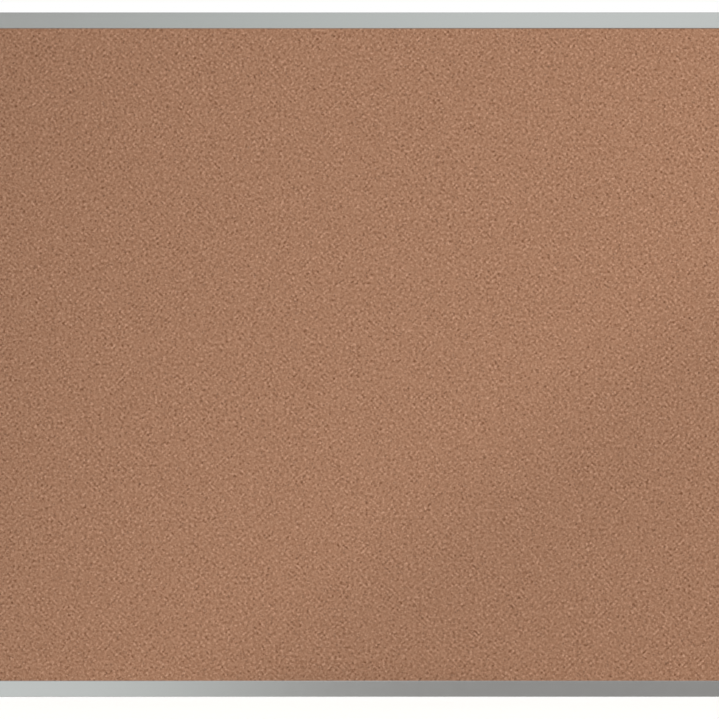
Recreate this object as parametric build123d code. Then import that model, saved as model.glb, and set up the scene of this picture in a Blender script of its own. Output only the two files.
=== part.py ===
from build123d import *
import os

# Framed cork bulletin board for a classroom wall, 48 in high by 72 in wide:
# four mitred rails, a layered panel, corner keys, four hangers and four pads.
#
# Frame of the whole: +X to the viewer's right, +Y from the pinning face towards
# the wall, +Z up. The origin is the centre of the overall box. All sizes are
# in millimetres.
#
# Places within a rail are given in two coordinates:
#   u  distance from the board's outer edge, inwards across the face
#   v  distance from the front face, backwards towards the wall

# ---------------------------------------------------------------- overall
INCH = 25.4
BOARD_W = 72 * INCH       # outside the frame
BOARD_H = 48 * INCH
HALF_W, HALF_H = BOARD_W / 2, BOARD_H / 2
FRAME_D = 20.0            # depth of the extrusion
BUMPER_T = 3.0            # the rubber pads stand this far behind the frame
FRONT_Y = -(FRAME_D + BUMPER_T) / 2     # y of the front face, v = 0
OVERCUT = 1.0             # most cutting tools run this far past the faces

# ---------------------------------------------------------------- extrusion
FACE_W = 28.6             # visible width of the trim, 1 1/8 in
FACE_T = 1.5              # front wall
SIDE_T = 1.6              # outer wall
FRONT_R = 1.4             # rounding of the outer front edge
BACK_R = 0.6              # rounding of the outer rear edge
LIP_BEVEL = 0.9           # bevel along the inner front edge, towards the cork
WEB_U0, WEB_U1 = 18.0, 19.4       # web between the hollow side and the panel
MID_V0, MID_V1 = 10.5, 12.0       # web between key chamber and rear track
TRACK_LIP_V = FRAME_D - 1.5       # front of the two lips that close the rear track
TRACK_U = (SIDE_T + WEB_U0) / 2   # centre line of chamber, track and slot
SLOT_HALF = 3.7           # half width of the slot between the track lips
MITRE_GAP = 0.08          # each mitre face stands back this far from 45 deg
MITRE_MARGIN = 5.0        # the mitre cutting outline overruns the rail by this

# ---------------------------------------------------------------- panel
# name and thickness of each layer, front to back
PANEL_LAYERS = (
    ("cork_sheet", 3.2),
    ("fibreboard_core", 9.5),
    ("moisture_liner", 0.8),
)
PANEL_CLEAR = 0.3         # gap in front of the panel and behind it
PANEL_EDGE_U = WEB_U1 + 0.6
PANEL_V0 = FACE_T + PANEL_CLEAR
PANEL_V1 = PANEL_V0 + sum(thick for _, thick in PANEL_LAYERS)

# flange of the extrusion behind the panel
FLANGE_V0 = PANEL_V1 + PANEL_CLEAR
FLANGE_V1 = FLANGE_V0 + 1.4
FLANGE_U1 = 27.4
FLANGE_R = 0.5            # rounding of its inner rear edge

# ---------------------------------------------------------------- corner keys
KEY_CLEAR = 0.2           # gap to the chamber walls
KEY_ARM = 76.0            # length of each arm from the key's outer corner
KEY_LEAD_IN = 1.2
POCKET_SPANS = ((20.0, 33.0), (46.0, 70.0))   # from the board's outer corner
POCKET_WALL = 2.4
POCKET_DEPTH = 5.4
KEY_SCREW_AT = 40.0       # from the board's outer corner, along each rail
KEY_SCREW_R = 2.0
KEY_SCREW_L = 8.0
KEY_SCREW_TIP = 0.6       # chamfer of the tip
KEY_HEAD_R, KEY_HEAD_T = 3.4, 1.7
KEY_HEAD_ROUND = 0.9
KEY_RECESS_R, KEY_RECESS_DEPTH = 1.9, 1.1
RAIL_HOLE_R = KEY_SCREW_R + 0.15
KEY_HOLE_R = KEY_SCREW_R + 0.05

# ---------------------------------------------------------------- hangers
HANGER_X = 3 * 16 * INCH / 2      # three 16 in stud bays apart
PLATE_W = 44.0
PLATE_U0, PLATE_U1 = 2.6, 54.0
PLATE_V0 = FRAME_D + 0.1
PLATE_V1 = PLATE_V0 + 2.5
PLATE_R = 4.0
KEYHOLE_R = 5.5           # the round end, which passes a screw head
KEYHOLE_SLOT_R = 2.6      # the narrow end, which grips the screw's shank
KEYHOLE_RISE = 11.0       # from the round end's centre to the slot's end centre
KEYHOLE_TOP_U = 44.0      # round end's centre on the two upper hangers
KEYHOLE_LOW_U = 34.0      # and on the two lower hangers
NUT_L, NUT_W = 40.0, 15.6
NUT_V1 = TRACK_LIP_V - 0.1
NUT_V0 = NUT_V1 - 4.4
NUT_CHAMFER = 0.5
CLAMP_PITCH = 28.0
CLAMP_XS = (-CLAMP_PITCH / 2, CLAMP_PITCH / 2)
CLAMP_R = 2.5
CLAMP_HEAD_R = 4.6
CLAMP_HEAD_V0 = PLATE_V1 - (CLAMP_HEAD_R - CLAMP_R)   # 90 degree countersink
CLAMP_TIP_V = NUT_V0 + 0.5
CLAMP_OVERLAP = 0.2       # the shank runs this far into the head
CLAMP_FIT = 0.06          # added to the radius of each hole
CLAMP_RECESS_R, CLAMP_RECESS_DEPTH = 2.2, 1.4

# ---------------------------------------------------------------- bumpers
BUMPER_R = 12.0
BUMPER_ROUND = 0.8
BUMPER_IN = FACE_W / 2    # centre of a pad from each outer edge


# ---------------------------------------------------------------- helpers
def y_of(v):
    return FRONT_Y + v


def block(x0, x1, v0, v1, z0, z1):
    """A box given by its limits, with depths for the Y limits."""
    centre = Pos((x0 + x1) / 2, y_of((v0 + v1) / 2), (z0 + z1) / 2)
    return centre * Box(x1 - x0, v1 - v0, z1 - z0)


def rod_y(x, z, v0, v1, radius):
    """A round bar along Y between two depths."""
    return Pos(x, y_of((v0 + v1) / 2), z) * Rot(90, 0, 0) * Cylinder(radius, v1 - v0)


def cross_recess(radius, depth):
    """A cross-shaped driver recess, centred, cut downwards from z = 0."""
    arm_w = radius * 0.3
    cut = Pos(0, 0, -depth / 2) * Box(2 * radius, arm_w, depth)
    cut += Pos(0, 0, -depth / 2) * Box(arm_w, 2 * radius, depth)
    return cut


# ---------------------------------------------------------------- rails
def section():
    """The extrusion's cross-section in the u, v plane."""
    outline = make_face(
        Polyline(
            # front wall and its inner edge
            (0, 0),
            (FACE_W, 0),
            (FACE_W, FACE_T),
            (WEB_U1, FACE_T),
            # flange behind the panel
            (WEB_U1, FLANGE_V0),
            (FLANGE_U1, FLANGE_V0),
            (FLANGE_U1, FLANGE_V1),
            (WEB_U1, FLANGE_V1),
            # rear track, in through the slot, round the inside and out again
            (WEB_U1, FRAME_D),
            (TRACK_U + SLOT_HALF, FRAME_D),
            (TRACK_U + SLOT_HALF, TRACK_LIP_V),
            (WEB_U0, TRACK_LIP_V),
            (WEB_U0, MID_V1),
            (SIDE_T, MID_V1),
            (SIDE_T, TRACK_LIP_V),
            (TRACK_U - SLOT_HALF, TRACK_LIP_V),
            (TRACK_U - SLOT_HALF, FRAME_D),
            (0, FRAME_D),
            (0, 0),
        )
    )

    def corner(face, u, v):
        return face.vertices().sort_by_distance(Vector(u, v, 0))[0]

    outline = fillet(corner(outline, 0, 0), FRONT_R)
    outline = fillet(corner(outline, 0, FRAME_D), BACK_R)
    outline = chamfer(corner(outline, FACE_W, 0), LIP_BEVEL)
    outline = fillet(corner(outline, FLANGE_U1, FLANGE_V1), FLANGE_R)
    # the closed chamber that takes the corner keys
    chamber = make_face(
        Polyline(
            (SIDE_T, FACE_T),
            (WEB_U0, FACE_T),
            (WEB_U0, MID_V0),
            (SIDE_T, MID_V0),
            (SIDE_T, FACE_T),
        )
    )
    return outline - chamber


def mitred_rail(length):
    """A rail along X, centred on x = 0, outer edge at z = 0, ends mitred."""
    half = length / 2
    # u runs down along -Z and v runs back along +Y
    plane = Plane(origin=(-half, FRONT_Y, 0), x_dir=(0, 0, -1), z_dir=(1, 0, 0))
    rail = extrude(plane * section(), amount=length, dir=(1, 0, 0))

    # half length of the 45 degree trapezium at the rail's outer edge
    reach = half - MITRE_GAP * 2**0.5
    outer_x = reach + MITRE_MARGIN
    inner_x = reach - FACE_W - MITRE_MARGIN
    inner_z = -FACE_W - MITRE_MARGIN
    keep = make_face(
        Plane.XZ
        * Polyline(
            (-outer_x, MITRE_MARGIN),
            (outer_x, MITRE_MARGIN),
            (inner_x, inner_z),
            (-inner_x, inner_z),
            (-outer_x, MITRE_MARGIN),
        )
    )
    rail = rail & extrude(keep, amount=60, both=True)

    # key-screw holes through the middle web
    for side in (-1, 1):
        x = side * (half - KEY_SCREW_AT)
        rail = rail - rod_y(x, -TRACK_U, MID_V0 - 0.5, MID_V1 + 0.5, RAIL_HOLE_R)
    return rail


def rails():
    long_rail = Pos(0, 0, HALF_H) * mitred_rail(BOARD_W)
    short_rail = Pos(0, 0, HALF_W) * mitred_rail(BOARD_H)
    return {
        "top_rail": long_rail,
        "bottom_rail": Rot(0, 180, 0) * long_rail,
        "right_rail": Rot(0, 90, 0) * short_rail,
        "left_rail": Rot(0, -90, 0) * short_rail,
    }


# ---------------------------------------------------------------- panel
def panel():
    """The layers of the panel, stacked from front to back."""
    x, z = HALF_W - PANEL_EDGE_U, HALF_H - PANEL_EDGE_U
    layers = {}
    front = PANEL_V0
    for name, thick in PANEL_LAYERS:
        layers[name] = block(-x, x, front, front + thick, -z, z)
        front += thick
    return layers


# ---------------------------------------------------------------- corner keys
# places of the two screws of the +X +Z corner
KEY_SCREW_PLACES = (
    (HALF_W - KEY_SCREW_AT, HALF_H - TRACK_U),
    (HALF_W - TRACK_U, HALF_H - KEY_SCREW_AT),
)


def corner_key():
    """A cast L that fills the chamber of two rails, for the +X +Z corner."""
    outer_u, inner_u = SIDE_T + KEY_CLEAR, WEB_U0 - KEY_CLEAR
    v0, v1 = FACE_T + KEY_CLEAR, MID_V0 - KEY_CLEAR
    x0, x1 = HALF_W - inner_u, HALF_W - outer_u
    z0, z1 = HALF_H - inner_u, HALF_H - outer_u
    end_x, end_z = x1 - KEY_ARM, z1 - KEY_ARM
    key = block(end_x, x1, v0, v1, z0, z1)
    key += block(x0, x1, v0, v1, end_z, z1)

    # lead-in at the end of each arm
    ends = [
        edge
        for edge in key.edges()
        if edge.center().X < end_x + 0.01 or edge.center().Z < end_z + 0.01
    ]
    key = chamfer(ends, KEY_LEAD_IN)

    # casting pockets, open to the front, either side of each screw boss
    pocket_v = (v0 - OVERCUT, v0 + POCKET_DEPTH)
    across_x = (x0 + POCKET_WALL, x1 - POCKET_WALL)
    across_z = (z0 + POCKET_WALL, z1 - POCKET_WALL)
    for near, far in POCKET_SPANS:
        key -= block(HALF_W - far, HALF_W - near, *pocket_v, *across_z)
        key -= block(*across_x, *pocket_v, HALF_H - far, HALF_H - near)

    for x, z in KEY_SCREW_PLACES:
        key -= rod_y(x, z, v0 - OVERCUT, v1 + OVERCUT, KEY_HOLE_R)
    return key


def corner_keys():
    top_key = corner_key()
    keys = {}
    for row, key in (("top", top_key), ("bottom", mirror(top_key, about=Plane.XY))):
        keys[f"corner_key_{row}_right"] = key
        keys[f"corner_key_{row}_left"] = mirror(key, about=Plane.YZ)
    return keys


def pan_screw():
    """Pan-head screw along +Z, head's underside at z = 0, shank downwards."""
    head = Pos(0, 0, KEY_HEAD_T / 2) * Cylinder(KEY_HEAD_R, KEY_HEAD_T)
    rim = head.edges().filter_by(GeomType.CIRCLE).sort_by(Axis.Z)[-1]
    head = fillet(rim, KEY_HEAD_ROUND)
    shank = Pos(0, 0, -KEY_SCREW_L / 2) * Cylinder(KEY_SCREW_R, KEY_SCREW_L)
    tip = shank.edges().filter_by(GeomType.CIRCLE).sort_by(Axis.Z)[0]
    shank = chamfer(tip, KEY_SCREW_TIP)
    recess = Pos(0, 0, KEY_HEAD_T) * cross_recess(KEY_RECESS_R, KEY_RECESS_DEPTH)
    return head + shank - recess


def corner_key_screws():
    """Two screws per corner, heads towards +Y on the rails' middle web."""
    screw = Rot(-90, 0, 0) * pan_screw()
    return Compound(
        children=[
            Pos(side_x * x, y_of(MID_V1), side_z * z) * screw
            for side_x in (-1, 1)
            for side_z in (-1, 1)
            for x, z in KEY_SCREW_PLACES
        ]
    )


# ---------------------------------------------------------------- hangers
# The pieces of a hanger are drawn at x = 0 on the top rail.
CLAMP_Z = HALF_H - TRACK_U


def clamp_cone(x, fit=0.0):
    """The countersunk head of a clamp screw, widest at the plate's back."""
    return (
        Pos(x, y_of((CLAMP_HEAD_V0 + PLATE_V1) / 2), CLAMP_Z)
        * Rot(-90, 0, 0)
        * Cone(CLAMP_R + fit, CLAMP_HEAD_R + fit, PLATE_V1 - CLAMP_HEAD_V0)
    )


def hanger_plate(round_u, slot_u):
    """Plate whose keyhole has its round end and slot end at the given u."""
    plate = block(
        -PLATE_W / 2, PLATE_W / 2, PLATE_V0, PLATE_V1, HALF_H - PLATE_U1, HALF_H - PLATE_U0
    )
    plate = fillet(plate.edges().filter_by(Axis.Y), PLATE_R)

    through = (PLATE_V0 - OVERCUT, PLATE_V1 + OVERCUT)
    round_z, slot_z = HALF_H - round_u, HALF_H - slot_u
    plate -= rod_y(0, round_z, *through, KEYHOLE_R)
    plate -= rod_y(0, slot_z, *through, KEYHOLE_SLOT_R)
    plate -= block(-KEYHOLE_SLOT_R, KEYHOLE_SLOT_R, *through, *sorted((round_z, slot_z)))

    for x in CLAMP_XS:
        plate -= rod_y(x, CLAMP_Z, *through, CLAMP_R + CLAMP_FIT)
        plate -= clamp_cone(x, CLAMP_FIT)
    return plate


def track_nut():
    """The bar in the rear track that the clamp screws pull on."""
    nut = block(
        -NUT_L / 2, NUT_L / 2, NUT_V0, NUT_V1, CLAMP_Z - NUT_W / 2, CLAMP_Z + NUT_W / 2
    )
    nut = chamfer(nut.edges().filter_by(Axis.X), NUT_CHAMFER)
    for x in CLAMP_XS:
        nut -= rod_y(x, CLAMP_Z, NUT_V0 - OVERCUT, NUT_V1 + OVERCUT, CLAMP_R + CLAMP_FIT)
    return nut


def clamp_screw(x):
    """Countersunk screw, its head flush with the plate's back."""
    screw = rod_y(x, CLAMP_Z, CLAMP_TIP_V, CLAMP_HEAD_V0 + CLAMP_OVERLAP, CLAMP_R)
    screw += clamp_cone(x)
    screw -= (
        Pos(x, y_of(PLATE_V1), CLAMP_Z)
        * Rot(-90, 0, 0)
        * cross_recess(CLAMP_RECESS_R, CLAMP_RECESS_DEPTH)
    )
    return screw


def hangers():
    """Four hangers; the keyhole's narrow end is uppermost on all of them."""
    nut = track_nut()
    screws = [clamp_screw(x) for x in CLAMP_XS]
    top = [hanger_plate(KEYHOLE_TOP_U, KEYHOLE_TOP_U - KEYHOLE_RISE), nut, *screws]
    # drawn on the top rail with its keyhole reversed, then mirrored down
    low = [hanger_plate(KEYHOLE_LOW_U, KEYHOLE_LOW_U + KEYHOLE_RISE), nut, *screws]
    low = [mirror(piece, about=Plane.XY) for piece in low]

    pieces = {}
    for row, hanger in (("top", top), ("bottom", low)):
        for side, x in (("left", -HANGER_X), ("right", HANGER_X)):
            plate, nut, *screws = [Pos(x, 0, 0) * piece for piece in hanger]
            pieces[f"hanger_plate_{row}_{side}"] = plate
            pieces[f"track_nut_{row}_{side}"] = nut
            pieces[f"clamp_screws_{row}_{side}"] = Compound(children=screws)
    return pieces


# ---------------------------------------------------------------- bumpers
def bumpers():
    """Round pads on the back of the four corners, rear edge rounded."""
    pad = rod_y(0, 0, FRAME_D, FRAME_D + BUMPER_T, BUMPER_R)
    rim = pad.edges().filter_by(GeomType.CIRCLE).sort_by(Axis.Y)[-1]
    pad = fillet(rim, BUMPER_ROUND)
    x, z = HALF_W - BUMPER_IN, HALF_H - BUMPER_IN
    return {
        f"bumper_{row}_{side}": Pos(side_x * x, 0, side_z * z) * pad
        for row, side_z in (("top", 1), ("bottom", -1))
        for side, side_x in (("left", -1), ("right", 1))
    }


# ---------------------------------------------------------------- export
parts = {
    **rails(),
    **panel(),
    **corner_keys(),
    "corner_key_screws": corner_key_screws(),
    **hangers(),
    **bumpers(),
}

os.makedirs("parts", exist_ok=True)
for name, shape in parts.items():
    solids = shape.solids()
    out = solids[0] if len(solids) == 1 else Compound(children=list(solids))
    export_step(out, f"parts/{name}.step")
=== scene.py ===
"""A cork notice board in an aluminium frame, with its fixings and rear rubber pads.

The board stands upright in the XZ plane: X runs across it, Z runs up, and its cork
face looks along -Y, towards the camera. Lengths are in metres.
"""
import math

import bpy
import numpy as np
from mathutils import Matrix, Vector

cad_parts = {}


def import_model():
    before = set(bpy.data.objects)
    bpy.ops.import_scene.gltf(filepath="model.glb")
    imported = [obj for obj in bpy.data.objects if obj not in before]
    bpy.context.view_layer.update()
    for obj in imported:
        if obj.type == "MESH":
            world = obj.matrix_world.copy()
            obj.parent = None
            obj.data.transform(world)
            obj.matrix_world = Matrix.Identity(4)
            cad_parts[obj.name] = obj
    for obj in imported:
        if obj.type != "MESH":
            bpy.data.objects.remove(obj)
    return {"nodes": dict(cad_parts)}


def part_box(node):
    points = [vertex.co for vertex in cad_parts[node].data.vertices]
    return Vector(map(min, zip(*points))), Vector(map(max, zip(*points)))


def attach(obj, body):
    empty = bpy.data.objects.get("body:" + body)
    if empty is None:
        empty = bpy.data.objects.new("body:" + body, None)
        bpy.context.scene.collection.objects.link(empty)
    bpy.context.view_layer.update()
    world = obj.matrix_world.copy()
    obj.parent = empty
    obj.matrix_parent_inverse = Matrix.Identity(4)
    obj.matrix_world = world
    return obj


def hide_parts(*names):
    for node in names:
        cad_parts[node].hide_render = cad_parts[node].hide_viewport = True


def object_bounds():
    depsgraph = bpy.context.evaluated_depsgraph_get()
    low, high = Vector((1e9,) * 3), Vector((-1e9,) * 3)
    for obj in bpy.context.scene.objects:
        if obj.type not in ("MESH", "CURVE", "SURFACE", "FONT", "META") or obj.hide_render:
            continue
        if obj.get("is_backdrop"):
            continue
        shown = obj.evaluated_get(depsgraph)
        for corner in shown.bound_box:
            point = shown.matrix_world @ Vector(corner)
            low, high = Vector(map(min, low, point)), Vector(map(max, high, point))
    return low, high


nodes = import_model()["nodes"]
cad_lo, cad_hi = (corner.copy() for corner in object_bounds())
scene = bpy.context.scene
MM = 0.001


# ------------------------------------------------------------------ node helpers
class Graph:
    """A short way to write a node tree: most methods return an output socket."""

    def __init__(self, tree):
        self.tree = tree
        self.tree.nodes.clear()

    def put(self, socket, value):
        if isinstance(value, bpy.types.NodeSocket):
            self.tree.links.new(value, socket)
            return
        if socket.type == "RGBA" and len(value) == 3:
            value = (*value, 1.0)
        socket.default_value = value

    def add(self, kind, inputs=None, **settings):
        """Add a node and return the node itself."""
        node = self.tree.nodes.new(kind)
        for key, value in settings.items():
            setattr(node, key, value)
        for key, value in (inputs or {}).items():
            self.put(node.inputs[key], value)
        return node

    # numbers
    def math(self, operation, *values, clamp=False):
        inputs = dict(enumerate(values))
        node = self.add("ShaderNodeMath", inputs, operation=operation, use_clamp=clamp)
        return node.outputs[0]

    def plus(self, first, *others):
        for value in others:
            first = self.math("ADD", first, value)
        return first

    def minus(self, value, less):
        return self.math("SUBTRACT", value, less)

    def times(self, value, by):
        return self.math("MULTIPLY", value, by)

    def over(self, value, by):
        return self.math("DIVIDE", value, by)

    def swing(self, value, by):
        """A 0 to 1 value centred on zero, then scaled."""
        return self.times(self.minus(value, 0.5), by)

    def weighted(self, *pairs):
        """The sum of (value, weight) pairs."""
        return self.plus(*[self.times(value, weight) for value, weight in pairs])

    def limit(self, value, low, high):
        return self.math("MINIMUM", self.math("MAXIMUM", value, low), high)

    def remap(self, value, span=(0.0, 1.0), to=(0.0, 1.0), smooth=False):
        return self.add(
            "ShaderNodeMapRange",
            {0: value, 1: span[0], 2: span[1], 3: to[0], 4: to[1]},
            interpolation_type="SMOOTHSTEP" if smooth else "LINEAR",
        ).outputs[0]

    def mix_value(self, factor, start, end):
        inputs = {0: factor, 2: start, 3: end}
        return self.add("ShaderNodeMix", inputs, data_type="FLOAT").outputs[0]

    # vectors
    def vector(self, operation, first, second):
        inputs = {0: first, 1: second}
        return self.add("ShaderNodeVectorMath", inputs, operation=operation).outputs[0]

    def scaled(self, vector, by):
        inputs = {0: vector, "Scale": by}
        return self.add("ShaderNodeVectorMath", inputs, operation="SCALE").outputs[0]

    def stretch(self, vector, by):
        return self.vector("MULTIPLY", vector, by)

    def xyz(self, vector):
        return tuple(self.add("ShaderNodeSeparateXYZ", {0: vector}).outputs)

    def join(self, x, y, z):
        return self.add("ShaderNodeCombineXYZ", {0: x, 1: y, 2: z}).outputs[0]

    def geometry(self, output):
        return self.add("ShaderNodeNewGeometry").outputs[output]

    # textures
    def noise(self, place, scale, detail=2.0, rough=0.5, output=0):
        return self.add(
            "ShaderNodeTexNoise",
            {"Vector": place, "Scale": scale, "Detail": detail, "Roughness": rough},
        ).outputs[output]

    def noise_colour(self, place, scale, detail=2.0):
        return self.noise(place, scale, detail, output=1)

    def wander(self, place, scale, detail, by):
        """A place pushed about by noise."""
        push = self.vector("SUBTRACT", self.noise_colour(place, scale, detail), (0.5, 0.5, 0.5))
        return self.vector("ADD", place, self.scaled(push, by))

    def voronoi(self, place, scale, feature="F1"):
        inputs = {"Vector": place, "Scale": scale}
        return self.add("ShaderNodeTexVoronoi", inputs, feature=feature).outputs

    # colours
    def ramp(self, factor, stops):
        """A colour ramp through (position, colour) stops."""
        node = self.add("ShaderNodeValToRGB", {0: factor})
        elements = node.color_ramp.elements
        while len(elements) < len(stops):
            elements.new(0.5)
        for element, (position, colour) in zip(elements, stops):
            element.position = position
            element.color = (*colour, 1.0)
        return node.outputs[0]

    def mix(self, factor, start, end, blend="MIX"):
        inputs = {0: factor, 6: start, 7: end}
        return self.add("ShaderNodeMix", inputs, data_type="RGBA", blend_type=blend).outputs[2]

    def tinted(self, colour, by):
        return self.mix(1.0, colour, by, "MULTIPLY")

    def grey(self, value):
        """A colour whose three channels are the value."""
        return self.add("ShaderNodeCombineColor", {0: value, 1: value, 2: value}).outputs[0]

    def bump(self, height, distance, strength):
        inputs = {"Height": height, "Distance": distance, "Strength": strength}
        return self.add("ShaderNodeBump", inputs).outputs[0]


class Surface(Graph):
    """The node tree of a new material with one Principled shader."""

    def __init__(self, name):
        self.material = bpy.data.materials.new(name)
        self.material.use_nodes = True
        super().__init__(self.material.node_tree)
        output = self.add("ShaderNodeOutputMaterial")
        self.shader = self.add("ShaderNodeBsdfPrincipled")
        self.put(output.inputs[0], self.shader.outputs[0])

    def place(self):
        """Object coordinates in metres."""
        return self.add("ShaderNodeTexCoord").outputs["Object"]

    def place_mm(self):
        return self.scaled(self.place(), by=1000.0)

    def wear(self):
        """1 along sharp outer edges, 0 on flat ground."""
        return self.remap(self.geometry("Pointiness"), span=(0.52, 0.60))

    def finish(self, inputs):
        """Fill the shader's inputs and return the material."""
        for key, value in inputs.items():
            self.put(self.shader.inputs[key], value)
        return self.material


# ------------------------------------------------------------------ materials
# Texture scales are features per mm, bump distances are metres.
GRANULE = 2.4           # mm across a cork granule
BLEND = 5.0             # mm over which light and dark granules alternate
STIR = 4.0              # mm to the neighbours a patch is judged against
STIR_WEIGHT = 0.205     # how much each neighbour counts
# how much of the tone comes from the blend, the granule and the detail within it
TONE_BLEND, TONE_CELL, TONE_INNER = 1.20, 0.31, 0.54
SEAM_WIDTH, SEAM_TONE = 0.20, 0.22      # binder between granules: reach and darkening
SEAM_AVERAGE = 0.36                     # share of the darkening given back everywhere
CHIP_ABOVE, CHIP = 0.975, 0.55          # dark chips: random threshold, strength
PIT_ABOVE, PIT = 0.56, 0.35             # open pits: noise threshold, strength
CHIP_COLOUR = (0.125, 0.058, 0.034)
PIT_COLOUR = (0.13, 0.062, 0.036)
CORK_RAMP = [           # tone, colour
    (0.00, (0.178, 0.071, 0.031)),
    (0.10, (0.262, 0.121, 0.066)),
    (0.33, (0.362, 0.184, 0.106)),
    (0.60, (0.433, 0.229, 0.138)),
    (0.84, (0.510, 0.279, 0.174)),
    (1.00, (0.622, 0.356, 0.234)),
]


def cork_material():
    """Granules pressed together and sanded flat; neighbours differ in tone."""
    net = Surface("granulated_cork")
    place = net.place_mm()
    warped = net.wander(place, scale=0.7, detail=3.0, by=2.1)
    cell = net.voronoi(warped, scale=1 / GRANULE)
    edge = net.voronoi(warped, scale=1 / GRANULE, feature="DISTANCE_TO_EDGE")["Distance"]
    cell_red, cell_green, cell_blue = net.xyz(cell["Color"])
    # each patch is judged against its neighbours, so nothing wider than a few
    # granules stands out
    blend = net.noise(cell["Position"], scale=1 / BLEND, detail=0.0)
    for step in ((STIR, 0, 0), (-STIR, 0, 0), (0, 0, STIR), (0, 0, -STIR)):
        neighbour = net.vector("ADD", cell["Position"], step)
        beside = net.noise(neighbour, scale=1 / BLEND, detail=0.0)
        blend = net.minus(blend, net.swing(beside, by=STIR_WEIGHT))
    inner = net.noise(place, scale=1.9, detail=3.0, rough=0.62)
    tone = net.plus(
        0.5,
        net.swing(blend, by=TONE_BLEND),
        net.swing(cell_red, by=TONE_CELL),
        net.swing(inner, by=TONE_INNER),
    )
    # a granule darkens to the binder round it, thick in places and gone in others
    seam = net.remap(edge, span=(0.0, SEAM_WIDTH), to=(1.0, 0.0), smooth=True)
    thickness = net.noise(place, scale=0.9, detail=1.0)
    seam = net.times(seam, net.remap(thickness, span=(0.36, 0.60), to=(0.25, 1.35)))
    tone = net.minus(tone, net.times(seam, by=SEAM_TONE))
    tone = net.math("ADD", tone, SEAM_TONE * SEAM_AVERAGE, clamp=True)
    colour = net.ramp(tone, CORK_RAMP)
    # some granules lean red, some lean the other way
    tint = net.mix(cell_blue, start=(1.016, 0.994, 0.988), end=(0.984, 1.006, 1.012))
    colour = net.tinted(colour, by=tint)
    # dark chips of outer bark, and small open pits along the binder
    chip = net.times(net.math("GREATER_THAN", cell_green, CHIP_ABOVE),
                     net.remap(edge, span=(0.04, 0.12)))
    colour = net.mix(net.times(chip, by=CHIP), colour, CHIP_COLOUR)
    pit = net.times(net.remap(edge, span=(0.0, 0.09), to=(1.0, 0.0)),
                    net.math("GREATER_THAN", inner, PIT_ABOVE))
    colour = net.mix(net.times(pit, by=PIT), colour, PIT_COLOUR)
    height = net.minus(net.weighted((cell_red, 0.30), (inner, 0.30)), net.times(seam, by=0.5))
    return net.finish({
        "Base Color": colour,
        "Roughness": net.remap(tone, to=(0.92, 0.76)),
        "Specular IOR Level": 0.28,
        "Normal": net.bump(height, distance=0.00014, strength=0.45),
    })


GRAIN_STRETCH = 1 / 420.0       # drawn lines are this much finer across than along


def aluminium_material(name, length):
    """Satin clear-anodised extrusion; length is the unit vector it was drawn along."""
    net = Surface(name)
    place = net.place_mm()
    drawn = net.stretch(place, by=tuple(GRAIN_STRETCH if part else 1.0 for part in length))
    fine = net.noise(drawn, scale=3.4, detail=3.0, rough=0.6)      # drawn lines
    broad = net.noise(drawn, scale=0.33)                           # faint bands
    mottle = net.noise(place, scale=0.06, detail=3.0, rough=0.55)
    tone = net.plus(net.swing(fine, by=0.07), net.swing(broad, by=0.05),
                    net.swing(mottle, by=0.035), 1.0)
    base = net.tinted((0.775, 0.785, 0.778), by=net.grey(tone))
    base = net.mix(net.times(net.wear(), by=0.25), base, end=(0.86, 0.865, 0.86))
    across = net.vector("CROSS_PRODUCT", net.geometry("Normal"), length)
    tangent = net.add("ShaderNodeVectorMath", {0: across}, operation="NORMALIZE").outputs[0]
    mean_roughness = 0.22
    return net.finish({
        "Base Color": base,
        "Metallic": 1.0,
        "Roughness": net.plus(mean_roughness, net.swing(fine, by=0.10),
                              net.swing(mottle, by=0.05)),
        "Anisotropic": 0.4,
        "Tangent": tangent,
        "Normal": net.bump(fine, distance=0.000012, strength=0.6),
    })


def steel_material():
    """Bright zinc plating over pressed steel."""
    net = Surface("zinc_plated_steel")
    place = net.place_mm()
    push = net.scaled(net.noise_colour(place, scale=1.2), by=1.4)
    spangle = net.voronoi(net.vector("ADD", place, push), scale=1 / 2.6)
    spangle_tone, spangle_gloss, _ = net.xyz(spangle["Color"])
    scratch = net.noise(net.stretch(place, by=(0.22, 1.0, 3.2)), scale=1.7, detail=4.0, rough=0.62)
    cloud = net.noise(place, scale=0.11, detail=4.0, rough=0.55)
    least_bright = 0.2
    bright = net.plus(net.weighted((spangle_tone, 0.07), (cloud, 0.16)), least_bright)
    plated = net.mix(bright, start=(0.60, 0.615, 0.62), end=(0.80, 0.80, 0.79))
    yellowing = net.remap(cloud, span=(0.40, 0.66), to=(0.0, 0.30))
    plated = net.mix(yellowing, plated, end=(0.70, 0.68, 0.60))
    # punched edges: duller, with fine tear lines across the thickness
    _, normal_y, _ = net.xyz(net.geometry("True Normal"))
    sheared = net.remap(net.math("ABSOLUTE", normal_y), span=(0.35, 0.60), to=(1.0, 0.0))
    tear = net.noise(net.stretch(place, by=(1.0, 0.10, 1.0)), scale=2.6, detail=3.0, rough=0.6)
    dull = net.mix(tear, start=(0.42, 0.425, 0.43), end=(0.64, 0.64, 0.64))
    relief = net.mix_value(sheared, net.plus(scratch, net.times(spangle_tone, by=0.25)), tear)
    return net.finish({
        "Base Color": net.mix(net.times(sheared, by=0.75), plated, dull),
        "Metallic": 1.0,
        "Roughness": net.plus(
            net.remap(spangle_gloss, to=(0.24, 0.33)),
            net.swing(scratch, by=0.25),
            net.times(sheared, by=0.16),
        ),
        "Normal": net.bump(relief, distance=0.00004, strength=0.5),
    })


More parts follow.
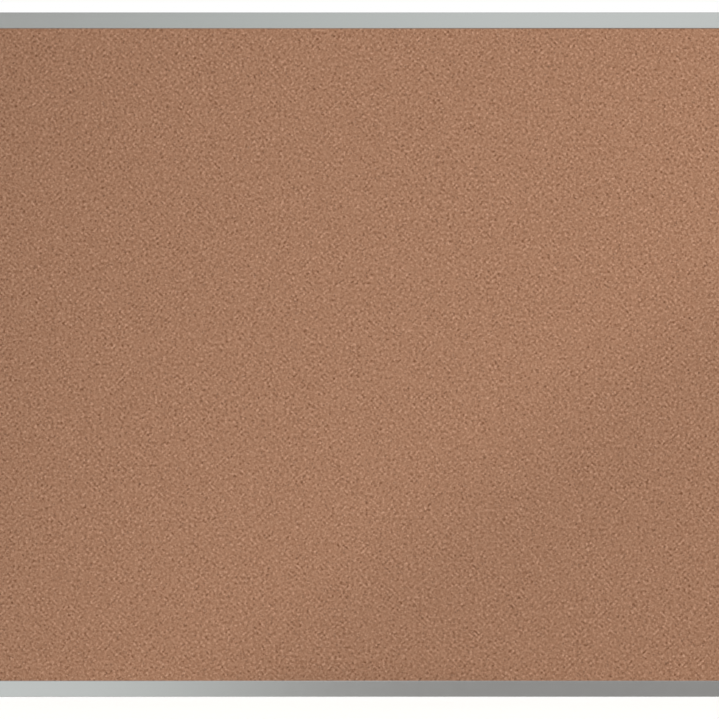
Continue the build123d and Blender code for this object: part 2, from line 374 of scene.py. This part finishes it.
def screw_material():
    """Zinc plating on small cold-headed parts: finer and a little darker than the sheet."""
    net = Surface("plated_screw")
    place = net.place_mm()
    fine = net.noise(place, scale=2.4, detail=4.0, rough=0.62)
    cloud = net.noise(place, scale=0.35, detail=3.0, rough=0.55)
    base = net.mix(net.remap(cloud, span=(0.35, 0.66)),
                   start=(0.43, 0.425, 0.405), end=(0.56, 0.55, 0.50))
    base = net.mix(net.times(net.wear(), by=0.55), base, end=(0.80, 0.79, 0.76))
    return net.finish({
        "Base Color": base,
        "Metallic": 1.0,
        "Roughness": net.remap(fine, span=(0.3, 0.7), to=(0.26, 0.42)),
        "Normal": net.bump(fine, distance=0.00003, strength=0.6),
    })


def diecast_material():
    """Dull grainy zinc casting with faint flow marks."""
    net = Surface("diecast_zinc")
    place = net.place_mm()
    grain = net.noise(place, scale=1.8, detail=5.0, rough=0.65)
    flow = net.noise(net.stretch(place, by=(0.15, 1.0, 0.15)), scale=0.5, detail=3.0, rough=0.6)
    return net.finish({
        "Base Color": net.mix(net.weighted((grain, 0.5), (flow, 0.4)),
                              start=(0.36, 0.365, 0.375), end=(0.58, 0.585, 0.59)),
        "Metallic": 0.9,
        "Roughness": net.remap(grain, span=(0.3, 0.7), to=(0.45, 0.62)),
        "Normal": net.bump(grain, distance=0.00008, strength=0.6),
    })


FIBRE_RAMP = [          # tone, colour
    (0.30, (0.165, 0.105, 0.062)),
    (0.50, (0.285, 0.196, 0.124)),
    (0.72, (0.43, 0.32, 0.215)),
]


def fibre_material():
    """Soft wood-fibre board."""
    net = Surface("soft_fibreboard")
    place = net.place_mm()
    along_x = net.noise(net.stretch(place, by=(0.25, 1.6, 1.0)), scale=1.3, detail=4.0, rough=0.65)
    along_z = net.noise(net.stretch(place, by=(1.0, 1.6, 0.22)), scale=1.7, detail=4.0, rough=0.65)
    speck, _, _ = net.xyz(net.voronoi(place, scale=0.8)["Color"])
    tone = net.weighted((along_x, 0.5), (along_z, 0.5))
    base = net.ramp(tone, FIBRE_RAMP)
    speck_above = 0.93
    dark = net.times(net.math("GREATER_THAN", speck, speck_above), by=0.45)
    return net.finish({
        "Base Color": net.mix(dark, base, end=(0.11, 0.068, 0.04)),
        "Roughness": net.remap(tone, span=(0.3, 0.7), to=(0.97, 0.86)),
        "Specular IOR Level": 0.2,
        "Normal": net.bump(tone, distance=0.0003, strength=0.8),
    })


KRAFT_TURN = 0.9        # radians between the two sets of fibres
KRAFT_LIFT = 0.045      # added to the whole tone
FLECK_ABOVE = 0.965     # random threshold for a dark fleck
KRAFT_RAMP = [          # tone, colour
    (0.34, (0.262, 0.163, 0.088)),
    (0.52, (0.352, 0.231, 0.132)),
    (0.70, (0.455, 0.315, 0.192)),
]


def kraft_material():
    """Coated brown kraft liner."""
    net = Surface("kraft_liner")
    place = net.place_mm()
    # fibres lie mostly along the sheet's length but wander, so they never look woven
    x, y, z = net.xyz(net.wander(place, scale=1 / 17.0, detail=2.0, by=11.0))
    cosine, sine = math.cos(KRAFT_TURN), math.sin(KRAFT_TURN)
    across = net.weighted((x, cosine), (z, sine))
    down = net.minus(net.times(z, cosine), net.times(x, sine))
    long_fibre = net.noise(net.join(net.times(x, by=0.22), y, z),
                           scale=1.2, detail=5.0, rough=0.68)
    cross_fibre = net.noise(net.join(net.times(across, by=0.34), y, down),
                            scale=1.4, detail=4.0, rough=0.6)
    cloud = net.noise(place, scale=1 / 70.0, detail=4.0, rough=0.55)
    roll = net.noise(net.stretch(place, by=(1 / 900.0, 1.0, 1.0)), scale=1 / 9.0)
    tone = net.weighted((long_fibre, 0.42), (cross_fibre, 0.28), (cloud, 0.18), (roll, 0.07))
    tone = net.plus(tone, KRAFT_LIFT)
    base = net.ramp(tone, KRAFT_RAMP)
    speck = net.voronoi(place, scale=1 / 2.2)
    chance, _, _ = net.xyz(speck["Color"])
    fleck = net.times(net.math("GREATER_THAN", chance, FLECK_ABOVE),
                      net.remap(speck["Distance"], span=(0.10, 0.30), to=(0.55, 0.0)))
    height = net.weighted((long_fibre, 0.6), (cross_fibre, 0.4))
    return net.finish({
        "Base Color": net.mix(fleck, base, end=(0.12, 0.072, 0.038)),
        "Roughness": net.remap(tone, span=(0.35, 0.7), to=(0.66, 0.48)),
        "Specular IOR Level": 0.38,
        "Normal": net.bump(height, distance=0.00010, strength=0.6),
    })


def rubber_material():
    """Near-black moulded rubber with a pale bloom."""
    net = Surface("moulded_rubber")
    place = net.place_mm()
    grain = net.noise(place, scale=3.5, detail=4.0, rough=0.6)
    bloom = net.noise(place, scale=0.16, detail=3.0, rough=0.55)
    base = net.mix(net.remap(bloom, span=(0.35, 0.70)),
                   start=(0.028, 0.028, 0.029), end=(0.060, 0.059, 0.057))
    return net.finish({
        "Base Color": net.mix(net.times(grain, by=0.25), base, end=(0.09, 0.088, 0.085)),
        "Roughness": net.remap(grain, span=(0.3, 0.7), to=(0.62, 0.80)),
        "Specular IOR Level": 0.42,
        "Normal": net.bump(grain, distance=0.00006, strength=0.7),
    })


CORK = cork_material()
ALUMINIUM_X = aluminium_material("anodised_aluminium_long", length=(1.0, 0.0, 0.0))
ALUMINIUM_Z = aluminium_material("anodised_aluminium_short", length=(0.0, 0.0, 1.0))
STEEL = steel_material()
SCREW = screw_material()
DIECAST = diecast_material()
FIBRE = fibre_material()
KRAFT = kraft_material()
RUBBER = rubber_material()


# ------------------------------------------------------------------ metal CAD pieces
RAILS = {
    "top_rail": ALUMINIUM_X,
    "bottom_rail": ALUMINIUM_X,
    "left_rail": ALUMINIUM_Z,
    "right_rail": ALUMINIUM_Z,
}
FITTINGS = [    # start of the name, material, slot, bevel width; the first match counts
    ("corner_key_screws", SCREW, "zinc_plated_steel", 0.15 * MM),
    ("corner_key", DIECAST, "cast_key", 0.3 * MM),
    ("clamp_screws", SCREW, "zinc_plated_steel", 0.15 * MM),
    ("hanger_plate", STEEL, "zinc_plated_steel", 0.22 * MM),
    ("track_nut", STEEL, "zinc_plated_steel", 0.22 * MM),
]


def dress(name, material):
    piece = nodes[name]
    piece.data.materials.clear()
    piece.data.materials.append(material)
    return piece


def bevel_edges(piece, width):
    bevel = piece.modifiers.new("edge", "BEVEL")
    bevel.width, bevel.segments = width, 2
    bevel.limit_method, bevel.angle_limit = "ANGLE", math.radians(40)


for rail, rail_material in RAILS.items():
    dress(rail, rail_material)
for name in nodes:
    for prefix, fitting_material, slot, bevel_width in FITTINGS:
        if name.startswith(prefix):
            bevel_edges(dress(name, fitting_material), bevel_width)
            break


# ------------------------------------------------------------------ soft pieces
def link_mesh(name, verts, faces, material):
    mesh = bpy.data.meshes.new(name)
    mesh.from_pydata([tuple(vert) for vert in verts], [], faces)
    mesh.validate()
    mesh.update()
    made = bpy.data.objects.new(name, mesh)
    scene.collection.objects.link(made)
    mesh.materials.append(material)
    return made


def board_piece(name, node, verts, faces, material):
    """A smooth-shaded mesh that moves with the board and stands in for a CAD node."""
    piece = link_mesh(name, verts, faces, material)
    polygons = piece.data.polygons
    polygons.foreach_set("use_smooth", [True] * len(polygons))
    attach(piece, "board")
    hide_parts(node)


def sheet(name, node, cell, front, back, material, edge=0.6 * MM):
    """A closed slab over a CAD node's box, its two faces fine grids.

    front(x, z) moves the front face along +Y, back(x, z) the back face along -Y.
    """
    lo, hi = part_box(node)

    def stations(start, end):
        count = max(2, int(round((end - start) / cell)))
        inner = np.linspace(start + edge, end - edge, count + 1)
        return np.concatenate([[start], inner, [end]])

    x, z = np.meshgrid(stations(lo.x, hi.x), stations(lo.z, hi.z), indexing="ij")
    front_y = lo.y + front(x, z)
    back_y = hi.y - back(x, z)
    # the outermost ring is set back, which rounds the slab's edges
    ring = np.ones_like(x, bool)
    ring[1:-1, 1:-1] = False
    front_y[ring] += edge * 0.7
    back_y[ring] -= edge * 0.7
    verts = np.vstack([np.stack([x, y, z], -1).reshape(-1, 3) for y in (front_y, back_y)])
    count = x.size
    index = np.arange(count).reshape(x.shape)
    corners = index[:-1, :-1], index[1:, :-1], index[1:, 1:], index[:-1, 1:]
    front_quads = np.stack(corners, -1).reshape(-1, 4)
    back_quads = front_quads[:, [0, 3, 2, 1]] + count
    rim = np.concatenate([index[:, 0], index[-1, 1:], index[-2::-1, -1], index[0, -2:0:-1]])
    following = np.roll(rim, -1)
    sides = np.stack([rim, rim + count, following + count, following], -1)
    faces = np.vstack([front_quads, back_quads, sides]).tolist()
    board_piece(name, node, verts, faces, material)


def waves(seed, count, shortest, longest):
    """A smooth random surface as a sum of plane waves, about -1 to 1."""
    rng = np.random.default_rng(seed)
    terms = []
    for _ in range(count):
        wavelength = math.exp(rng.uniform(math.log(shortest), math.log(longest)))
        angle, phase = rng.uniform(0, math.pi), rng.uniform(0, 2 * math.pi)
        rate = 2 * math.pi / wavelength
        terms.append((rate * math.cos(angle), rate * math.sin(angle), phase))

    def surface(x, z):
        total = sum(np.sin(rate_x * x + rate_z * z + phase) for rate_x, rate_z, phase in terms)
        return total / math.sqrt(count * 2)

    return surface


cork_fine = waves(seed=11, count=26, shortest=0.012, longest=0.05)
cork_slow = waves(seed=12, count=10, shortest=0.25, longest=0.9)
core_fine = waves(seed=21, count=20, shortest=0.012, longest=0.06)
liner_slow = waves(seed=31, count=14, shortest=0.18, longest=0.8)
liner_fine = waves(seed=32, count=24, shortest=0.02, longest=0.09)


def inside(x, z, node, margin):
    """0 at the node's edges, 1 from margin inwards."""
    lo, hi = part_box(node)
    depth = np.minimum.reduce([x - lo.x, hi.x - x, z - lo.z, hi.z - z])
    share = np.clip(depth / margin, 0, 1)
    return share * share * (3 - 2 * share)


def cork_front(x, z):
    slow = 0.10 * MM * cork_slow(x, z) * inside(x, z, "cork_sheet", margin=0.08)
    return 0.05 * MM * cork_fine(x, z) + slow


def cork_back(x, z):
    return 0.02 * MM * (1 + cork_fine(x, z))


def core_side(x, z):
    return 0.03 * MM * (1 + core_fine(x, z))


def liner_front(x, z):
    return np.zeros_like(x)


def liner_back(x, z):
    """Fine ripples and slow swells, standing out behind the sheet."""
    relief = 0.06 * MM * liner_fine(x, z) + 0.22 * MM * np.abs(liner_slow(x, z)) ** 1.5
    return -relief * inside(x, z, "moisture_liner", margin=0.10)


sheet("cork_face", "cork_sheet", 6.6 * MM, cork_front, cork_back, CORK)
sheet("fibreboard", "fibreboard_core", 14 * MM, core_side, core_side, FIBRE)
sheet("kraft_backing", "moisture_liner", 8 * MM, liner_front, liner_back, KRAFT,
      edge=0.2 * MM)

PAD_SEGMENTS = 72
PAD_ROUND, PAD_ROUND_STEPS = 1.3 * MM, 6        # radius of the rounded back rim
# mm in from the pad's radius, mm behind its front face
PAD_FRONT = [(0.2, 0.0), (0.0, 0.25), (0.0, 0.9)]
# mm in from the pad's radius, mm below its back face: a shallow groove, then flat
PAD_BACK = [
    (2.6, 0.0), (3.0, 0.12), (3.4, 0.35), (3.9, 0.35),
    (4.3, 0.12), (4.7, 0.0), (7.0, 0.0), (9.0, 0.0),
]


def rubber_pad(node):
    """A moulded pad turned about Y, its back face grooved and rounded at the rim."""
    lo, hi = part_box(node)
    centre = (lo + hi) / 2
    radius = (hi.x - lo.x) / 2
    profile = [(radius - inset * MM, lo.y + depth * MM) for inset, depth in PAD_FRONT]
    for step in range(PAD_ROUND_STEPS + 1):
        angle = math.pi / 2 * step / PAD_ROUND_STEPS
        profile.append((radius - PAD_ROUND + PAD_ROUND * math.cos(angle),
                        hi.y - PAD_ROUND + PAD_ROUND * math.sin(angle)))
    profile += [(radius - inset * MM, hi.y - depth * MM) for inset, depth in PAD_BACK]

    verts = [(centre.x, lo.y, centre.z)]
    for reach, y in profile:
        for i in range(PAD_SEGMENTS):
            angle = 2 * math.pi * i / PAD_SEGMENTS
            verts.append((centre.x + reach * math.cos(angle), y,
                          centre.z + reach * math.sin(angle)))
    verts.append((centre.x, hi.y, centre.z))

    turn = [(i, (i + 1) % PAD_SEGMENTS) for i in range(PAD_SEGMENTS)]
    starts = [1 + k * PAD_SEGMENTS for k in range(len(profile))]
    faces = [(0, 1 + i, 1 + j) for i, j in turn]
    for start, after in zip(starts, starts[1:]):
        faces += [(start + i, after + i, after + j, start + j) for i, j in turn]
    faces += [(starts[-1] + i, len(verts) - 1, starts[-1] + j) for i, j in turn]
    name = node.replace("bumper", "rubber_pad")
    board_piece(name, node, verts, faces, RUBBER)


for corner in ("top_left", "top_right", "bottom_left", "bottom_right"):
    rubber_pad("bumper_" + corner)


# ------------------------------------------------------------------ floor
FLOOR_GLOW, FLOOR_WASH = 0.10, 0.27     # the floor's own light, and its lamp's share
FLOOR_HALF = 30.0
FLOOR_GAP = 0.3 * MM                    # below the board's lowest point


def make_floor():
    net = Surface("studio_floor")
    cloud = net.noise(net.place(), scale=2.5, detail=3.0)
    material = net.finish({
        "Base Color": net.mix(cloud, start=(0.922, 0.926, 0.934), end=(0.940, 0.944, 0.950)),
        "Roughness": 0.85,
        "Specular IOR Level": 0.2,
        "Emission Color": (1.0, 1.0, 1.0),
        "Emission Strength": FLOOR_GLOW,
    })
    z = cad_lo.z - FLOOR_GAP
    corners = [(x * FLOOR_HALF, y * FLOOR_HALF, z) for x, y in ((-1, -1), (1, -1), (1, 1), (-1, 1))]
    made = link_mesh("studio_floor", corners, [(0, 1, 2, 3)], material)
    made.visible_glossy = False
    made.visible_diffuse = False
    made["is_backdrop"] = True
    return made


floor = make_floor()

# ------------------------------------------------------------------ camera
LENS, SENSOR = 85.0, 36.0               # mm
FRAME_WIDTH = 1.2804                    # seen across the frame at the board's face
CAMERA_Z = -0.0088
CAMERA_DISTANCE = FRAME_WIDTH * LENS / SENSOR
camera_data = bpy.data.cameras.new("camera")
camera_data.lens, camera_data.sensor_width = LENS, SENSOR
camera_data.clip_start, camera_data.clip_end = 0.05, 200
camera = bpy.data.objects.new("camera", camera_data)
camera.location = (0.0, cad_lo.y - CAMERA_DISTANCE, CAMERA_Z)
camera.rotation_euler = (math.radians(90), 0, 0)
scene.collection.objects.link(camera)
scene.camera = camera

# ------------------------------------------------------------------ world
# What a polished face reflects, as x in the camera's plane and colour.
WALL_REACH = 0.8        # half the width the two tables are spread over
UPPER_WALL = [
    (-0.70, (0.405, 0.400, 0.388)), (-0.30, (0.515, 0.540, 0.528)), (0.00, (0.588, 0.615, 0.600)),
    (0.22, (0.680, 0.702, 0.694)), (0.66, (0.700, 0.724, 0.716)),
]
LOWER_WALL = [
    (-0.70, (0.712, 0.734, 0.726)), (-0.48, (0.715, 0.734, 0.725)), (-0.34, (0.615, 0.640, 0.628)),
    (-0.22, (0.450, 0.454, 0.446)), (-0.08, (0.375, 0.360, 0.347)), (0.04, (0.308, 0.297, 0.289)),
    (0.70, (0.308, 0.297, 0.289)),
]
# Elsewhere, from straight down (0) to straight up (1): a pale floor that darkens
# underfoot, a bright band above the horizon and a lamp overhead.
SURROUND = [
    (0.0, (0.46, 0.41, 0.37)), (0.06, (0.58, 0.57, 0.56)), (0.16, (0.84, 0.84, 0.835)),
    (0.30, (0.74, 0.74, 0.735)), (0.46, (0.50, 0.50, 0.50)), (0.53, (0.47, 0.475, 0.48)),
    (0.66, (0.74, 0.745, 0.75)), (0.82, (0.48, 0.485, 0.49)), (0.94, (0.46, 0.46, 0.46)),
    (1.0, (0.56, 0.56, 0.555)),
]
LEAST_TOWARD = 0.06             # keeps the projection on the wall finite
BOX_COUNT, BOX_PHASE = 4.0, 0.9         # brighter boxes round the horizon
DIFFUSE_LEVEL = (0.43, 0.432, 0.432)    # what lights matt surfaces
CAMERA_WHITE = (1.0, 1.0, 1.0)          # what the camera sees


def make_world():
    world = bpy.data.worlds.new("studio")
    scene.world = world
    world.use_nodes = True
    net = Graph(world.node_tree)
    output = net.add("ShaderNodeOutputWorld")
    x, y, z = net.xyz(net.add("ShaderNodeTexCoord").outputs["Generated"])
    toward = net.math("MAXIMUM", net.times(y, -1.0), LEAST_TOWARD)
    across = net.over(net.times(x, CAMERA_DISTANCE), toward)
    up = net.over(net.times(z, CAMERA_DISTANCE), toward)

    def wall(table):
        stops = [((place + WALL_REACH) / (2 * WALL_REACH), colour) for place, colour in table]
        return net.ramp(net.remap(across, span=(-WALL_REACH, WALL_REACH)), stops)

    upper, lower = wall(UPPER_WALL), wall(LOWER_WALL)
    front_glow = net.mix(net.remap(up, span=(-0.12, 0.12), smooth=True), lower, upper)
    back_glow = net.ramp(net.remap(z, span=(-1.0, 1.0)), SURROUND)
    around = net.math("ARCTAN2", x, y)
    boxes = net.math("SINE", net.plus(net.times(around, BOX_COUNT), BOX_PHASE))
    boxes = net.remap(boxes, span=(-0.7, 0.7), to=(0.66, 1.20), smooth=True)
    back_glow = net.tinted(back_glow, by=net.grey(boxes))
    facing = net.remap(y, span=(-0.80, -0.45), to=(1.0, 0.0), smooth=True)
    glossy = net.mix(facing, back_glow, front_glow)
    path = net.add("ShaderNodeLightPath").outputs
    colour = net.mix(path["Is Glossy Ray"], DIFFUSE_LEVEL, glossy)
    colour = net.mix(path["Is Camera Ray"], colour, CAMERA_WHITE)
    background = net.add("ShaderNodeBackground", {"Color": colour, "Strength": 1.0})
    net.put(output.inputs[0], background.outputs[0])


make_world()

# ------------------------------------------------------------------ lights
KEY_AT = Vector((1.5, -4.6, 2.7))
KEY_RADIUS = 0.45
KEY_COLOUR = (1.0, 0.995, 0.985)
FACE_Y = cad_lo.y
KEY_ON_FACE = 0.557             # the key's share of the light on the face
KEY_ON_FLOOR = 0.42
# how the key varies over the face: x, z, xz, x2, z2, x3
KEY_SLOPE = (0.171, -0.049, 0.069, -0.100, -0.028, 0.176)
SLOPE_X, SLOPE_Z = 1.0, 0.75    # the variation stops growing beyond these
# a flag takes a little light off the lower right: its edge slants, and is soft
FLAG_ANGLE, FLAG_OFFSET, FLAG_SOFT, FLAG_DEPTH = math.radians(38.7), 0.309, 0.232, 0.176
# a second small flag darkens a low patch along the bottom: centre and half sizes in
# x and z, depth, and the soft edge's span as shares of the half sizes
PATCH_AT, PATCH_HALF, PATCH_DEPTH = (0.03, -0.60), (0.30, 0.055), 0.11
PATCH_EDGE = (0.55, 1.15)
LEVEL_MOST = 1.6                # cap on the fall-off correction
DROP_MOST, LEAST_DESCENT = 36.0, 0.03   # caps on a ray's run to the floor
LEAST_AHEAD = 0.02              # a ray with less +Y than this never meets the face
BOARD_MARGIN = 0.01             # round the board, still lit as the face


def key_light():
    """A small source up and to the right, evened over the face and shaped by two flags."""
    data = bpy.data.lights.new("key", "POINT")
    to_face = Vector((0, FACE_Y, 0)) - KEY_AT
    reach = to_face.length ** 3 / to_face.y
    data.energy = 4 * math.pi * math.pi * KEY_ON_FACE * reach
    data.shadow_soft_size = KEY_RADIUS
    data.use_nodes = True
    net = Graph(data.node_tree)
    output = net.add("ShaderNodeOutputLight")
    ray = net.add("ShaderNodeNewGeometry").outputs
    ray_x, ray_y, ray_z = net.xyz(ray["Incoming"])
    from_x, from_y, from_z = net.xyz(ray["Position"])
    # where the ray meets the face's plane
    run = net.over(net.minus(FACE_Y, from_y), ray_y)
    face_x = net.plus(net.times(ray_x, run), from_x)
    face_z = net.plus(net.times(ray_z, run), from_z)
    x = net.limit(face_x, -SLOPE_X, SLOPE_X)
    z = net.limit(face_z, -SLOPE_Z, SLOPE_Z)
    x_squared = net.times(x, x)
    terms = (x, z, net.times(x, z), x_squared, net.times(z, z), net.times(x_squared, x))
    slope = net.plus(1.0, *[net.times(term, weight) for term, weight in zip(terms, KEY_SLOPE)])

    beyond = net.minus(net.times(x, math.sin(FLAG_ANGLE)), net.times(z, math.cos(FLAG_ANGLE)))
    flag = net.remap(beyond, span=(FLAG_OFFSET - FLAG_SOFT / 2, FLAG_OFFSET + FLAG_SOFT / 2),
                     to=(1.0, 1.0 - FLAG_DEPTH), smooth=True)
    patch_x, patch_z = (net.over(net.minus(value, centre), half)
                        for value, centre, half in zip((x, z), PATCH_AT, PATCH_HALF))
    far = net.math("SQRT", net.plus(net.times(patch_x, patch_x), net.times(patch_z, patch_z)))
    patch = net.remap(far, span=PATCH_EDGE, to=(1.0 - PATCH_DEPTH, 1.0), smooth=True)

    # undo the fall-off with distance and slant, as a far large source would
    level = net.math("POWER", net.over(net.math("ABSOLUTE", run), to_face.length), 3.0)
    level = net.math("MINIMUM", level, LEVEL_MOST)
    on_face = net.times(net.times(slope, level), net.times(flag, patch))

    # rays that miss the board light the floor evenly instead
    descent = net.math("MAXIMUM", net.times(ray_z, -1.0), LEAST_DESCENT)
    drop = net.math("MINIMUM", net.over(net.minus(from_z, cad_lo.z), descent), DROP_MOST)
    on_floor = net.times(net.math("POWER", net.over(drop, to_face.length), 3.0),
                         KEY_ON_FLOOR / KEY_ON_FACE * to_face.y / (KEY_AT.z - cad_lo.z))
    ahead = net.math("GREATER_THAN", ray_y, LEAST_AHEAD)
    short = net.math("MAXIMUM", net.math("LESS_THAN", drop, run), net.minus(1.0, ahead))
    wide = net.math("GREATER_THAN", net.math("ABSOLUTE", face_x), cad_hi.x + BOARD_MARGIN)
    above = net.math("GREATER_THAN", face_z, cad_hi.z + BOARD_MARGIN)
    past = net.math("MAXIMUM", net.math("MAXIMUM", wide, above), short)
    strength = net.mix_value(past, on_face, on_floor)
    emission = net.add("ShaderNodeEmission", {"Color": KEY_COLOUR, "Strength": strength})
    net.put(output.inputs[0], emission.outputs[0])
    key = bpy.data.objects.new("key", data)
    key.location = KEY_AT
    key.visible_glossy = False
    scene.collection.objects.link(key)


def floor_wash():
    """A soft sun that lights only the floor."""
    data = bpy.data.lights.new("floor_wash", "SUN")
    data.energy, data.angle = FLOOR_WASH * math.pi, math.radians(60)
    wash = bpy.data.objects.new("floor_wash", data)
    wash.rotation_euler = (math.radians(20), math.radians(8), 0)
    scene.collection.objects.link(wash)
    only_floor = bpy.data.collections.new("floor_only")
    only_floor.objects.link(floor)
    wash.light_linking.receiver_collection = only_floor


REAR_AT = Vector((-1.6, 4.2, 2.4))
REAR_SIZE, REAR_POWER = 2.2, 110.0


def rear_light():
    """A soft square lamp behind the board, aimed at its middle."""
    data = bpy.data.lights.new("rear_soft", "AREA")
    data.shape = "RECTANGLE"
    data.size = data.size_y = REAR_SIZE
    data.energy = REAR_POWER
    rear = bpy.data.objects.new("rear_soft", data)
    rear.location = REAR_AT
    rear.rotation_euler = (-REAR_AT).to_track_quat("-Z", "Y").to_euler()
    scene.collection.objects.link(rear)
    rear.visible_glossy = False     # its glint would white out the top of the frame


key_light()
floor_wash()
rear_light()

scene.view_settings.view_transform = "Standard"
scene.view_settings.look = "None"
scene.view_settings.exposure = 0.0
scene.view_settings.gamma = 1.0
